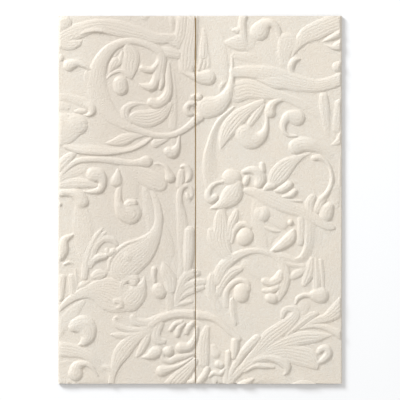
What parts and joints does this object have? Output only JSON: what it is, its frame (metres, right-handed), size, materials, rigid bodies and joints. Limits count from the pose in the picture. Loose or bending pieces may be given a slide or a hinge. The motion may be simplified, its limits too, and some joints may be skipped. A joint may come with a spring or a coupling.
{
  "type": "gate-fold invitation",
  "caption": "Closed gate-fold paper invitation with scrolling leaf relief on its front, folded round a flat gold-faced inner card.",
  "frame": {"origin": "centre of the back panel's underside", "axes": "+X across the front to the right-hand fold, +Y up the front, +Z out of the front, so the invitation lies on its back"},
  "size_m": [0.1396, 0.181, 0.003],
  "materials": {
    "ivory_pearl_stock": "uncoated ivory card with a faint pearl sheen and a fine grain",
    "gold_faced_card": "satin gold paper face"
  },
  "bodies": {
    "root": {"embossed_gatefold": "ivory_pearl_stock", "inner_card": "gold_faced_card"}
  },
  "joints": []
}
